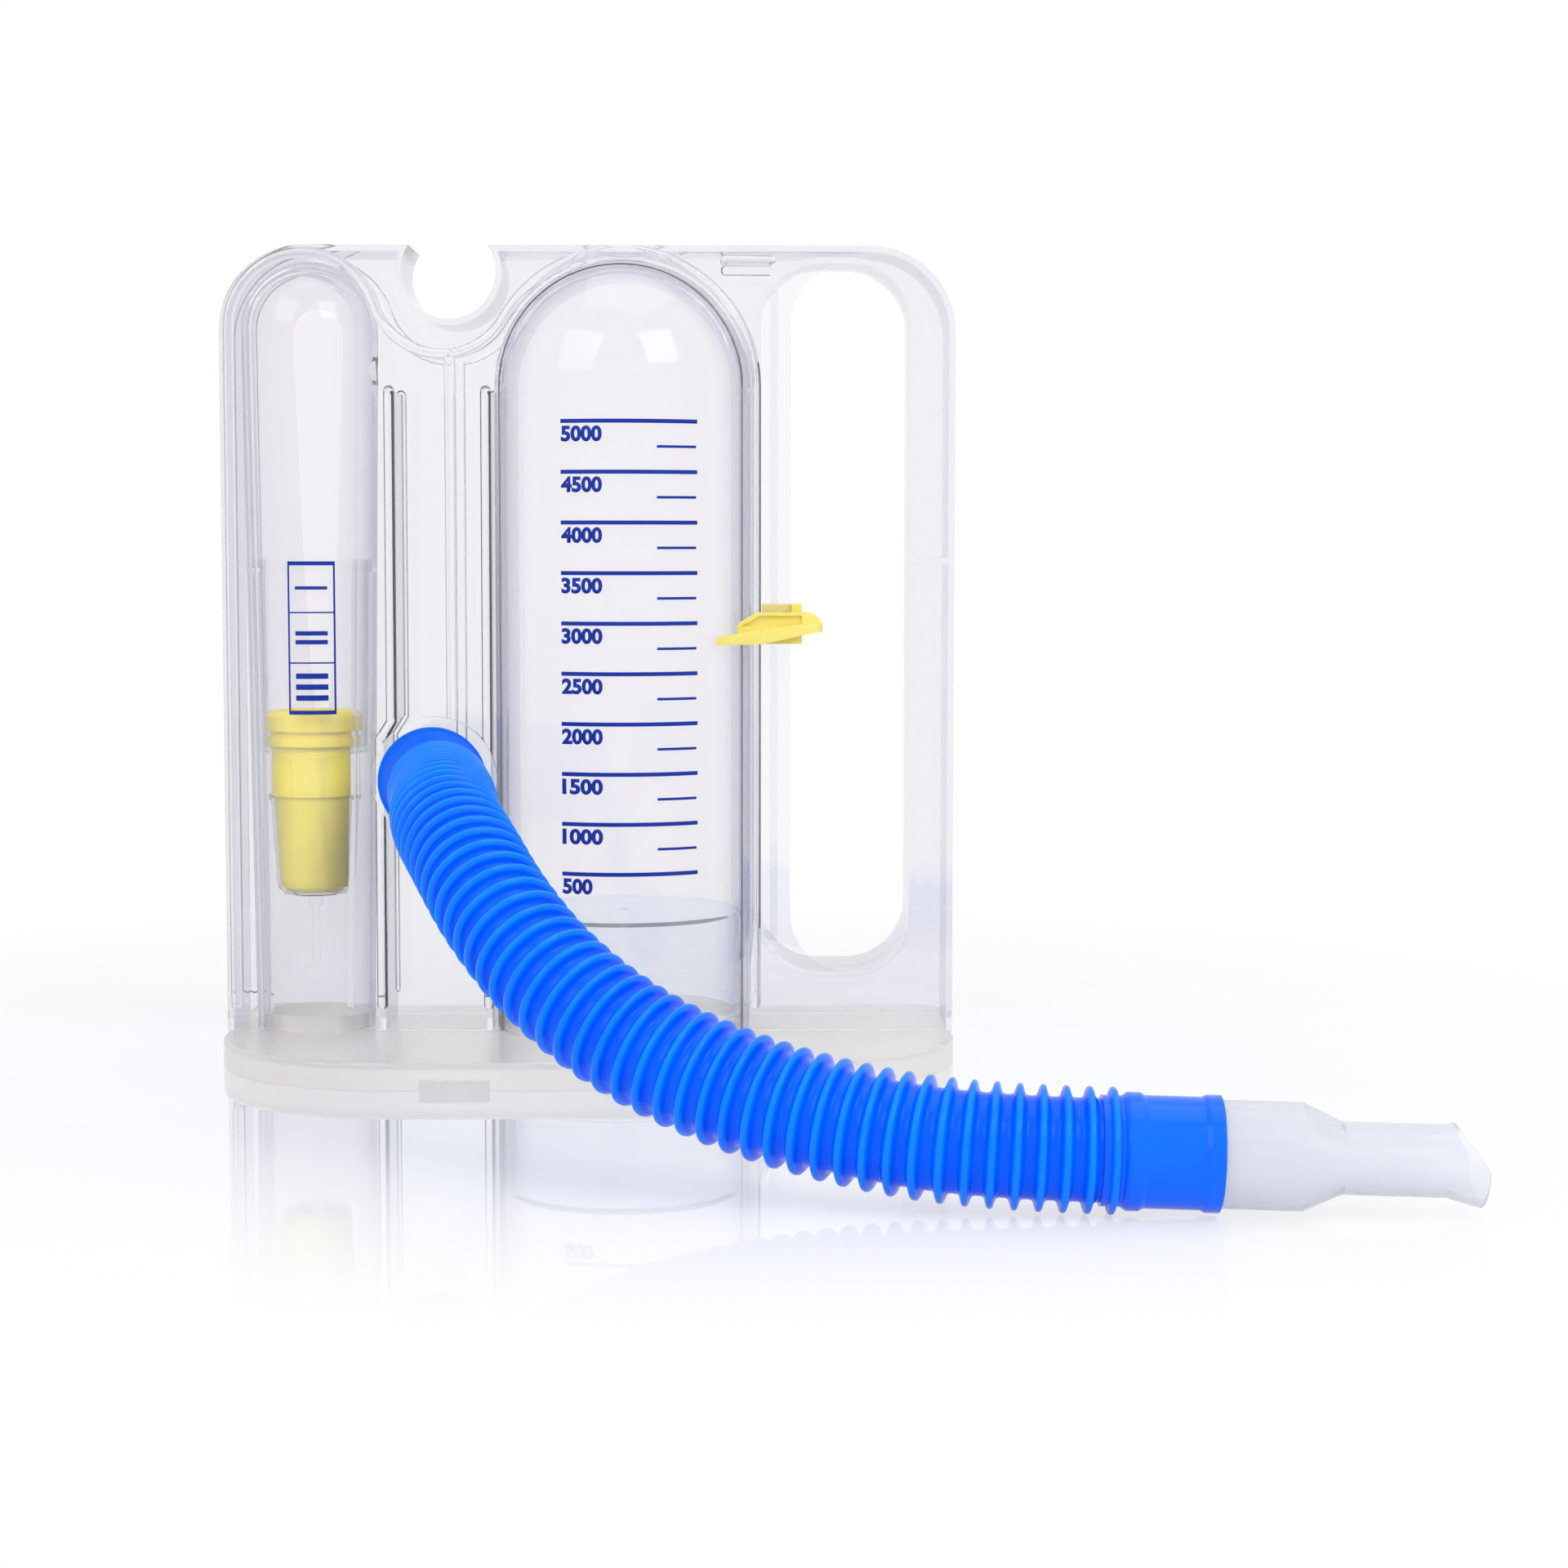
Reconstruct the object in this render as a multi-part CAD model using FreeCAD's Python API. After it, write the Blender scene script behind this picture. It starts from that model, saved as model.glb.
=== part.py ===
import FreeCAD, Part
import math
import os

# Incentive spirometer: a clear two-shell housing on a stand, with a flow column,
# a volume column, a sliding pointer and a corrugated hose with a mouthpiece.
# Millimetres, +Z up, the front faces -Y, the origin is under the middle of the stand.

V = FreeCAD.Vector
UP = V(0, 0, 1)

# Stand
stand_width = 201.0
stand_depth = 102.0
stand_height = 7.5
stand_front_radius = 50.0
stand_back_radius = 8.0
stand_edge_round = 0.8
stand_wall = 2.0
locating_ring_height = 4.0
locating_ring_wall = 1.2
inlet_arch_x = -33.0
inlet_arch_width = 18.5
inlet_arch_height = 3.0
flow_inlet_radius = 2.6
flow_inlet_pitch = 8.0
volume_inlet_radius = 3.5

# Housing
housing_width = stand_width
housing_top = 223.5
corner_radius = 23.5
parting_y = 15.0
front_depth = 13.0
rear_depth = 19.0
panel_wall = 1.6
column_wall = 1.5
bead_radius = 1.5
duct_radius = 4.0
duct_z = 190.0
duct_top_z = 184.0
duct_left_x = -54.4
duct_left_low_x = -57.5
duct_right_x = -28.0
duct_middle_x = -37.8
duct_jog_high_z = 93.5
duct_jog_low_z = 88.5
ridge_offset = 4.2
ridge_height = 1.1
nub_radius = 0.9
nub_length = 6.0
nub_places = [-65.3, 37.1, 50.4]
bead_foot_z = 15.0
seam_gap = 0.05
web_bar_left = 37.6
web_bar_right = 50.3
web_bar_z = 219.3

# Flow column, on the left
flow_inset = 23.0
flow_x = flow_inset - housing_width / 2
flow_top_radius = 18.85
flow_foot_radius = 16.4
flow_dome_z = 201.0

# Volume column, on the right
volume_x = 8.9
volume_radius = 35.4
volume_dome_z = 185.3
stop_height = 1.3
stop_reach = 2.4
stop_length = 6.0

# Mouthpiece notch in the top edge
notch_x = -38.0
notch_z = 216.4
notch_radius = 12.95
valley_foot_z = 193.9

# Handle opening and the lip that the pointer rides on
grip_inset = 11.1
grip_left = volume_x + volume_radius + grip_inset
grip_bar = 12.2
grip_right = housing_width / 2 - grip_bar
grip_bottom = 23.9
grip_top = 218.8
lip_width = 8.2
grip_rib_z = 137.8

# Route of the hose, from its port cuff to its mouth cuff
hose_route = [
    V(-37.7, -37.8, 77.5),
    V(-33.3, -65.0, 77.0),
    V(-31.3, -93.0, 75.3),
    V(-24.2, -118.2, 69.6),
    V(-14.9, -140.2, 58.2),
    V(-1.0, -157.6, 44.5),
    V(18.3, -171.1, 32.0),
    V(42.1, -182.1, 23.0),
    V(68.2, -191.6, 17.3),
    V(94.5, -198.0, 14.6),
    V(118.5, -198.5, 13.9),
]
hose_radius = 13.7
hose_bore = 10.4

# Hose port on the front, in line with the first run of the hose
port_axis = (hose_route[1] - hose_route[0]).normalize()
port_cuff_length = 29.0
port_seat = hose_route[0] - port_axis * port_cuff_length
port_boss_x = -42.5
port_boss_z = 77.9
port_boss_radius = 17.1
port_boss_height = 3.0
port_tube_radius = 11.85
port_tube_wall = 1.9
port_tube_length = 20.0
port_root = 16.0
port_shoulder_radius = 13.4
port_shoulder_length = 3.0
port_cuff_lip_radius = 14.7
port_cuff_lip_length = 4.0
port_cuff_radius = 14.0
cuff_step = 1.0

# Metering sleeve in the flow column
sleeve_top = 138.0
sleeve_shoulder_z = 86.0
sleeve_shoulder_height = 1.6
sleeve_top_radius = 14.7
sleeve_foot_radius = 13.9
sleeve_wall = 0.9
sleeve_flange_height = 2.2
sleeve_ledge_width = 0.75
sleeve_ledge_height = 1.3
cage_floor = 45.0
cage_head_radius = 12.05
cage_top_radius = 11.4
cage_foot_radius = 10.2
cage_foot_round = 3.4
foot_steps = 3
cage_wall = 0.8
cage_window_foot = 72.0
cage_window_height = 12.0
cage_window_sweep = 57.0
cage_window_middle = 51.5
moulding_pin_radius = 1.1
moulding_pin_foot = 25.4
moulding_knob_radius = 1.9
moulding_knob_height = 3.0

# Flow cup
cup_height = 50.6
cup_rim_radius = 13.5
cup_rim_height = 5.4
cup_ring_radius = 12.9
cup_ring_height = 2.3
cup_groove_radius = 12.2
cup_mouth_radius = 9.2
cup_wall = 1.0

# Volume piston
piston_top = 40.0
piston_gap = 0.5
piston_wall = 1.3
piston_waist = 0.8
piston_crown_land = 13.6
piston_foot_land = 2.7
piston_edge = 0.8
piston_bleed_radius = 1.0

# Pointer, measured sideways from the edge of the lip that it rides on
pointer_left = grip_left - 20.4
pointer_web_left = grip_left - 9.4
pointer_clip_left = grip_left - 7.8
pointer_clip_right = grip_left + 3.1
pointer_right = grip_left + 8.8
pointer_foot = 115.1
pointer_tip_height = 2.0
pointer_rise = 3.4
pointer_clip_height = 10.8
pointer_web_height = 8.6
pointer_rim = 0.9
pointer_pocket_depth = 1.0
pointer_reach = 6.0
pointer_jaw = 2.0

# Mouth end of the hose, and the mouthpiece
cuff_bore = 11.05
cuff_plain_radius = 11.9
cuff_plain_length = 4.4
cuff_bead_radius = 12.7
cuff_bead_length = 5.0
cuff_radius = 12.1
cuff_lip_radius = 12.6
cuff_lip_length = 4.0
cuff_length = 25.5
mouthpiece_radius = 11.6
mouthpiece_wall = 1.3
mouthpiece_spigot = 21.0
mouthpiece_body = 17.4
mouthpiece_taper = 8.4
bite_length = 22.3
bite_half_width = 10.2
bite_half_height = 7.7
bite_lip_length = 7.2
bite_flare = 1.9
bite_lip_slope = 34.0

# Clearances
seat_gap = 0.3
fit_gap = 0.05
ring_gap = 0.2

# Planes and radii that follow from the sizes
deck = stand_height
front_y = parting_y - front_depth
rear_y = parting_y + rear_depth
flow_taper = (flow_top_radius - flow_foot_radius) / (flow_dome_z - deck)
volume_bore = volume_radius - column_wall


def flow_bore(z):
    """Inner radius of the tapered flow column at a height."""
    return flow_foot_radius - column_wall + flow_taper * (z - deck)


def at(x, z, y=0.0):
    return V(x, y, z)


def on_circle(x, z, radius, degrees):
    """A point of a circle seen from the front, with the angle counted from +X to +Z."""
    angle = math.radians(degrees)
    return at(x + radius * math.cos(angle), z + radius * math.sin(angle))


def closed_wire(start, steps):
    """A step is the end of a straight edge, or the middle and the end of an arc."""
    edges = []
    here = start
    for step in steps:
        if isinstance(step, tuple):
            middle, end = step
            edges.append(Part.Arc(here, middle, end).toShape())
        else:
            end = step
            edges.append(Part.LineSegment(here, end).toShape())
        here = end
    return Part.Wire(edges)


def prism(outline, y_from, y_to):
    """An outline in the XZ plane, as a solid between two planes."""
    face = Part.Face(outline)
    face.translate(V(0, y_from, 0))
    return face.extrude(V(0, y_to - y_from, 0))


def box(low, high):
    return Part.makeBox(high.x - low.x, high.y - low.y, high.z - low.z, low)


def turned(profile, base=V(0, 0, 0), direction=UP):
    """A profile of (radius, distance) points turned about an axis."""
    points = [V(radius, 0, distance) for radius, distance in profile]
    face = Part.Face(Part.makePolygon(points + points[:1]))
    solid = face.revolve(V(0, 0, 0), UP, 360)
    solid.Placement = FreeCAD.Placement(base, FreeCAD.Rotation(UP, direction))
    return solid


def stand_outline(inset):
    side = stand_width / 2 - inset
    front = -stand_depth / 2 + inset
    back = stand_depth / 2 - inset
    wide = stand_front_radius - inset
    tight = stand_back_radius - inset
    slant = math.sqrt(0.5)
    return closed_wire(
        V(-side, back - tight, 0),
        [
            V(-side, front + wide, 0),
            (
                V(-side + wide - wide * slant, front + wide - wide * slant, 0),
                V(-side + wide, front, 0),
            ),
            V(side - wide, front, 0),
            (
                V(side - wide + wide * slant, front + wide - wide * slant, 0),
                V(side, front + wide, 0),
            ),
            V(side, back - tight, 0),
            (
                V(side - tight + tight * slant, back - tight + tight * slant, 0),
                V(side - tight, back, 0),
            ),
            V(-side + tight, back, 0),
            (
                V(-side + tight - tight * slant, back - tight + tight * slant, 0),
                V(-side, back - tight, 0),
            ),
        ],
    )


def locating_ring(x, bore):
    outer = bore - ring_gap
    inner = outer - locating_ring_wall
    top = deck + locating_ring_height
    return turned([(inner, deck), (outer, deck), (outer, top), (inner, top)], V(x, parting_y, 0))


def make_stand():
    block = Part.Face(stand_outline(0)).extrude(V(0, 0, stand_height))
    rim = [e for e in block.Edges if e.BoundBox.ZMin > stand_height - 0.01]
    block = block.makeFillet(stand_edge_round, rim)
    hollow = Part.Face(stand_outline(stand_wall)).extrude(V(0, 0, stand_height - stand_wall))
    arch = box(
        V(inlet_arch_x - inlet_arch_width / 2, -stand_depth, -1),
        V(inlet_arch_x + inlet_arch_width / 2, -stand_depth / 4, inlet_arch_height),
    )
    stand = block.cut(hollow).cut(arch)
    stand = stand.fuse([locating_ring(flow_x, flow_bore(deck)), locating_ring(volume_x, volume_bore)])
    inlets = [Part.makeCylinder(volume_inlet_radius, stand_height, V(volume_x, parting_y, 0))]
    for turn in range(4):
        angle = math.radians(90 * turn)
        spot = V(math.cos(angle), math.sin(angle), 0) * flow_inlet_pitch
        inlets.append(Part.makeCylinder(flow_inlet_radius, stand_height, V(flow_x, parting_y, 0) + spot))
    return stand.cut(inlets)


def housing_outline(inset, floor):
    """The housing from the front, moved inwards by inset all round but the floor."""
    side = housing_width / 2 - inset
    top = housing_top - inset
    corner = corner_radius - inset
    corner_x = side - corner
    corner_z = top - corner
    mouth = notch_radius + inset
    half_mouth = math.sqrt(mouth**2 - (top - notch_z) ** 2)
    return closed_wire(
        at(-side, floor),
        [
            at(-side, corner_z),
            (on_circle(-corner_x, corner_z, corner, 135), at(-corner_x, top)),
            at(notch_x - half_mouth, top),
            (at(notch_x, notch_z - mouth), at(notch_x + half_mouth, top)),
            at(corner_x, top),
            (on_circle(corner_x, corner_z, corner, 45), at(side, corner_z)),
            at(side, floor),
            at(-side, floor),
        ],
    )


def grip_outline(left_shift=0.0, grow=0.0):
    """The handle opening, with its left end moved out by left_shift, grown all round."""
    end = (grip_right - grip_left) / 2 + grow
    right = grip_right + grow - end
    left = right - left_shift
    low = grip_bottom - grow + end
    high = grip_top + grow - end
    top_arc = (on_circle(left, high, end, 135), at(left, high + end))
    steps = [at(left - end, high), top_arc]
    if left_shift:
        steps.append(at(right, high + end))
    steps += [
        (on_circle(right, high, end, 45), at(right + end, high)),
        at(right + end, low),
        (on_circle(right, low, end, -45), at(right, low - end)),
    ]
    if left_shift:
        steps.append(at(left, low - end))
    steps.append((on_circle(left, low, end, -135), at(left - end, low)))
    return closed_wire(at(left - end, low), steps)


def column(x, foot_radius, top_radius, dome_z, floor):
    """An upright tube with a round dome."""
    centre = V(x, parting_y, 0)
    if abs(top_radius - foot_radius) < 1e-6:
        tube = Part.makeCylinder(top_radius, dome_z - floor, centre + V(0, 0, floor))
    else:
        tube = Part.makeCone(foot_radius, top_radius, dome_z - floor, centre + V(0, 0, floor))
    return tube.fuse(Part.makeSphere(top_radius, centre + V(0, 0, dome_z)))


def bead_line(start, end):
    run = end - start
    rod = Part.makeCylinder(bead_radius, run.Length, start, run)
    return [rod, Part.makeSphere(bead_radius, start), Part.makeSphere(bead_radius, end)]


def bead_arc(centre, radius, start_angle, end_angle, y):
    """A round bead on an arc, seen from the front with the angle from +X to +Z."""
    start = on_circle(centre.x, centre.z, radius, start_angle)
    start.y = y
    heading = on_circle(0, 0, 1, start_angle + 90)
    disc = Part.Face(Part.Wire(Part.makeCircle(bead_radius, start, heading)))
    return disc.revolve(V(centre.x, y, centre.z), V(0, -1, 0), end_angle - start_angle)


def direction_angle(start, end):
    return math.degrees(math.atan2(end.z - start.z, end.x - start.x))


def valley_arc(flow, flow_run, volume, volume_run):
    """The arc that touches the runs round both domes from outside, with its foot at its height.

    For a middle at x, each dome gives 2 * radius * drop = (x - dome.x)**2 + excess.
    """
    flow_drop = flow.z + flow_run - valley_foot_z
    volume_drop = volume.z + volume_run - valley_foot_z
    flow_excess = (valley_foot_z - flow.z) ** 2 - flow_run**2
    volume_excess = (valley_foot_z - volume.z) ** 2 - volume_run**2
    square = volume_drop - flow_drop
    half = flow_drop * volume.x - volume_drop * flow.x
    rest = volume_drop * (flow.x**2 + flow_excess) - flow_drop * (volume.x**2 + volume_excess)
    x = -rest / (half + math.copysign(math.sqrt(half**2 - square * rest), half))
    radius = ((x - flow.x) ** 2 + flow_excess) / (2 * flow_drop)
    return at(x, valley_foot_z + radius), radius


def outline_bead(y):
    """The bead that follows the flow dome, dips under the notch and follows the volume dome."""
    flow = at(flow_x, flow_dome_z)
    volume = at(volume_x, volume_dome_z)
    flow_run = flow_top_radius + bead_radius
    volume_run = volume_radius + bead_radius
    valley, valley_radius = valley_arc(flow, flow_run, volume, volume_run)
    flow_angle = direction_angle(flow, valley)
    volume_angle = direction_angle(volume, valley)
    solids = [
        bead_arc(flow, flow_run, flow_angle, 180, y),
        bead_arc(valley, valley_radius, flow_angle + 180, volume_angle + 180, y),
        bead_arc(volume, volume_run, 0, volume_angle, y),
    ]
    left = flow_x - flow_run
    right = volume_x + volume_run
    solids += bead_line(at(left, bead_foot_z, y), at(left, flow_dome_z, y))
    solids += bead_line(at(right, bead_foot_z, y), at(right, volume_dome_z, y))
    return solids


def duct_beads(y):
    """The upright beads between the columns, over the walls of the air duct."""
    solids = bead_line(at(duct_left_x, duct_jog_high_z, y), at(duct_left_x, duct_top_z, y))
    solids += bead_line(at(duct_left_low_x, duct_jog_low_z, y), at(duct_left_x, duct_jog_high_z, y))
    solids += bead_line(at(duct_left_low_x, bead_foot_z, y), at(duct_left_low_x, duct_jog_low_z, y))
    solids += bead_line(at(duct_right_x, bead_foot_z, y), at(duct_right_x, duct_top_z, y))
    solids += bead_line(at(duct_middle_x, port_boss_z, y), at(duct_middle_x, valley_foot_z, y))
    return solids


def rib_outlines():
    half = panel_wall / 2

    def upright(line):
        left = [at(point.x - half, point.z) for point in line]
        right = [at(point.x + half, point.z) for point in reversed(line)]
        return closed_wire(left[0], left[1:] + right + left[:1])

    tie = [at(grip_right, grip_rib_z - half), at(housing_width / 2 - half, grip_rib_z - half)]
    tie += [at(point.x, grip_rib_z + half) for point in reversed(tie)]
    return [
        upright(
            [
                at(duct_left_low_x, deck),
                at(duct_left_low_x, duct_jog_low_z),
                at(duct_left_x, duct_jog_high_z),
                at(duct_left_x, duct_top_z),
            ]
        ),
        upright([at(duct_right_x, deck), at(duct_right_x, duct_top_z)]),
        closed_wire(tie[0], tie[1:] + tie[:1]),
    ]


def half_space(outward):
    """Everything on one side of the weld line and over the stand's deck."""
    reach = 2 * housing_width
    seam_y = parting_y + outward * seam_gap / 2
    low_y = min(seam_y, seam_y + outward * reach)
    return box(V(-reach, low_y, deck + seam_gap), V(reach, low_y + reach, reach))


def make_shell(panel_y, lip):
    """One half of the housing. Its panel's outer face lies at panel_y."""
    outward = math.copysign(1, panel_y - parting_y)
    inner_y = panel_y - outward * panel_wall
    body = prism(housing_outline(0, deck), panel_y, parting_y)
    cavity = prism(housing_outline(panel_wall, deck - 1), inner_y, parting_y)
    grip_walls = prism(grip_outline(lip_width, panel_wall), inner_y, parting_y)
    body = body.cut(cavity.cut(grip_walls))

    # Ribs inside: the walls of the air duct and the tie across the hollow handle
    walls = [prism(outline, inner_y, parting_y) for outline in rib_outlines()]
    walls.append(column(flow_x, flow_foot_radius, flow_top_radius, flow_dome_z, deck))
    walls.append(column(volume_x, volume_radius, volume_radius, volume_dome_z, deck))
    body = body.fuse(walls)

    # Raised beads, flush with the housing's edges
    bead_zone = prism(housing_outline(0, deck), panel_y - 3 * bead_radius, panel_y + 3 * bead_radius)
    beads = outline_bead(panel_y) + duct_beads(panel_y)
    beads += bead_line(at(web_bar_left, web_bar_z, panel_y), at(web_bar_right, web_bar_z, panel_y))
    ridge_x = grip_left - ridge_offset
    ridge = prism(
        closed_wire(
            at(ridge_x - ridge_height, deck),
            [
                at(ridge_x + ridge_height, deck),
                at(ridge_x + ridge_height, housing_top),
                at(ridge_x - ridge_height, housing_top),
                at(ridge_x - ridge_height, deck),
            ],
        ),
        panel_y,
        panel_y + outward * ridge_height,
    )
    beads.append(ridge)
    beads = beads[0].fuse(beads[1:]).common(bead_zone)
    body = body.fuse(beads)
    nubs = [
        Part.makeCylinder(nub_radius, nub_length / 2, at(x, housing_top, parting_y), V(0, outward, 0))
        for x in nub_places
    ]
    body = body.fuse(nubs)
    if lip:
        body = body.fuse(port_solids(inner_y))

    # Hollows: both columns, the duct between them, the handle opening and the hose port
    flow_hollow = column(
        flow_x, flow_bore(deck), flow_top_radius - column_wall, flow_dome_z, deck
    )
    volume_hollow = column(volume_x, volume_bore, volume_bore, volume_dome_z, deck)
    duct = Part.makeCylinder(
        duct_radius, volume_x - flow_x - volume_bore, V(flow_x, parting_y, duct_z), V(1, 0, 0)
    )
    body = body.cut([flow_hollow, volume_hollow, duct])
    body = body.cut(prism(grip_outline(lip_width), inner_y, parting_y))
    grip_edge = grip_outline() if lip else grip_outline(lip_width)
    body = body.cut(prism(grip_edge, panel_y + outward, inner_y))
    if lip:
        body = body.cut(port_bore())
    return body.fuse(column_details()).common(half_space(outward))


def column_details():
    """The ledge under the metering sleeve's flange and the stops over the piston."""
    ledge_top = sleeve_top - sleeve_flange_height
    ledge_foot = ledge_top - sleeve_ledge_height
    bore = flow_bore(ledge_top)
    ledge = turned(
        [
            (bore - sleeve_ledge_width, ledge_foot),
            (bore + column_wall / 2, ledge_foot),
            (bore + column_wall / 2, ledge_top),
            (bore - sleeve_ledge_width, ledge_top),
        ],
        V(flow_x, parting_y, 0),
    )
    stops = []
    for side in (-1, 1):
        inner = volume_x + side * (volume_bore - stop_reach)
        outer = volume_x + side * (volume_bore + column_wall / 2)
        stops.append(
            box(
                V(min(inner, outer), parting_y - stop_length / 2, volume_dome_z - stop_height),
                V(max(inner, outer), parting_y + stop_length / 2, volume_dome_z),
            )
        )
    return [ledge, *stops]


def port_solids(inner_y):
    boss = Part.makeCylinder(
        port_boss_radius,
        port_boss_height + panel_wall,
        V(port_boss_x, front_y - port_boss_height, port_boss_z),
        V(0, 1, 0),
    )
    tube = turned(
        [
            (0, -port_root),
            (port_tube_radius, -port_root),
            (port_shoulder_radius, -port_shoulder_length),
            (port_shoulder_radius, 0),
            (port_tube_radius, 0),
            (port_tube_radius, port_tube_length),
            (0, port_tube_length),
        ],
        port_seat,
        port_axis,
    )
    reach = 2 * housing_width
    outside = box(V(-reach, -reach, -reach), V(reach, inner_y, reach))
    return [boss, tube.common(outside)]


def port_bore():
    length = port_root + port_tube_length
    base = port_seat - port_axis * port_root
    return Part.makeCylinder(port_tube_radius - port_tube_wall, 2 * length, base, port_axis)


def round_foot(side, foot, radius):
    """Points of a rounded corner between a flat foot and an upright side."""
    angles = [math.radians(90 * step / foot_steps) for step in range(foot_steps + 1)]
    return [(side - radius + radius * math.sin(a), foot + radius - radius * math.cos(a)) for a in angles]


def make_sleeve():
    """The tapered metering tube, with a windowed cage for the cup below its shoulder."""
    flange = flow_bore(sleeve_top - sleeve_flange_height) - fit_gap
    shoulder_foot = sleeve_shoulder_z - sleeve_shoulder_height
    cage_outer_head = cage_head_radius + cage_wall
    cage_outer_top = cage_top_radius + cage_wall
    cage_outer_foot = cage_foot_radius + cage_wall
    cage_underside = cage_floor - cage_wall
    knob_foot = cage_underside - moulding_knob_height
    profile = [
        (0, moulding_pin_foot),
        (moulding_pin_radius, moulding_pin_foot),
        (moulding_pin_radius, knob_foot),
        (moulding_knob_radius, knob_foot),
        (moulding_knob_radius, cage_underside),
        *round_foot(cage_outer_foot, cage_underside, cage_foot_round + cage_wall),
        (cage_outer_top, cage_window_foot - cage_wall),
        (cage_outer_head, cage_window_foot - cage_wall),
        (cage_outer_head, shoulder_foot),
        (sleeve_foot_radius + sleeve_wall, shoulder_foot),
        (sleeve_foot_radius + sleeve_wall, sleeve_shoulder_z),
        (sleeve_top_radius + sleeve_wall, sleeve_top - sleeve_flange_height),
        (flange, sleeve_top - sleeve_flange_height),
        (flange, sleeve_top),
        (sleeve_top_radius, sleeve_top),
        (sleeve_foot_radius, sleeve_shoulder_z),
        (cage_head_radius, sleeve_shoulder_z),
        (cage_head_radius, cage_window_foot),
        (cage_top_radius, cage_window_foot),
        *reversed(round_foot(cage_foot_radius, cage_floor, cage_foot_round)),
        (0, cage_floor),
    ]
    centre = V(flow_x, parting_y, 0)
    sleeve = turned(profile, centre)
    inner = cage_foot_radius / 2
    outer = sleeve_foot_radius
    window_top = cage_window_foot + cage_window_height
    window = Part.Face(
        Part.makePolygon(
            [
                V(inner, 0, cage_window_foot),
                V(outer, 0, cage_window_foot),
                V(outer, 0, window_top),
                V(inner, 0, window_top),
                V(inner, 0, cage_window_foot),
            ]
        )
    ).revolve(V(0, 0, 0), UP, cage_window_sweep)
    windows = []
    for middle in (cage_window_middle, 180 - cage_window_middle):
        for side in (-1, 1):
            cutter = window.copy()
            cutter.rotate(V(0, 0, 0), UP, 90 + side * middle - cage_window_sweep / 2)
            cutter.translate(centre)
            windows.append(cutter)
    return sleeve.cut(windows)


def make_cup():
    """The float: a thin cup whose flared rim meters the flow in the tapered sleeve."""
    seat = sleeve_shoulder_z + seat_gap
    foot = cage_floor + seat_gap
    head = cage_head_radius - seat_gap
    head_foot = cage_window_foot + seat_gap
    side_top = cage_top_radius - seat_gap
    side_foot = cage_foot_radius - seat_gap
    top = foot + cup_height
    rim_foot = top - cup_rim_height
    ring_top = seat + cup_ring_height
    lip = cup_rim_height / 4
    profile = [
        (0, foot),
        *round_foot(side_foot, foot, cage_foot_round - seat_gap),
        (side_top, head_foot),
        (head, head_foot),
        (head, seat),
        (cup_ring_radius, seat),
        (cup_ring_radius, ring_top),
        (cup_groove_radius, ring_top),
        (cup_groove_radius, rim_foot),
        (cup_rim_radius, rim_foot),
        (cup_rim_radius, top - lip),
        (cup_rim_radius - lip, top),
        (cup_mouth_radius + lip, top),
        (cup_mouth_radius, top - lip),
        (cup_mouth_radius, rim_foot),
        (side_top - cup_wall, rim_foot - cup_wall),
        (side_top - cup_wall, head_foot),
        *reversed(round_foot(side_foot - cup_wall, foot + cup_wall, cage_foot_round - seat_gap - cup_wall)),
        (0, foot + cup_wall),
    ]
    return turned(profile, V(flow_x, parting_y, 0))


def make_piston():
    """A skirted disc with a sealing land at its crown and its foot."""
    land = volume_bore - piston_gap
    waist = land - piston_waist
    bore = waist - piston_wall
    foot = deck + locating_ring_height + seat_gap
    crown_foot = piston_top - piston_crown_land
    profile = [
        (0, piston_top),
        (land - piston_edge, piston_top),
        (land, piston_top - piston_edge),
        (land, crown_foot),
        (waist, crown_foot),
        (waist, foot + piston_foot_land),
        (land, foot + piston_foot_land),
        (land, foot),
        (bore, foot),
        (bore, piston_top - piston_wall),
        (0, piston_top - piston_wall),
    ]
    centre = V(volume_x, parting_y, 0)
    piston = turned(profile, centre)
    return piston.cut(Part.makeCylinder(piston_bleed_radius, piston_top, centre))


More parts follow.
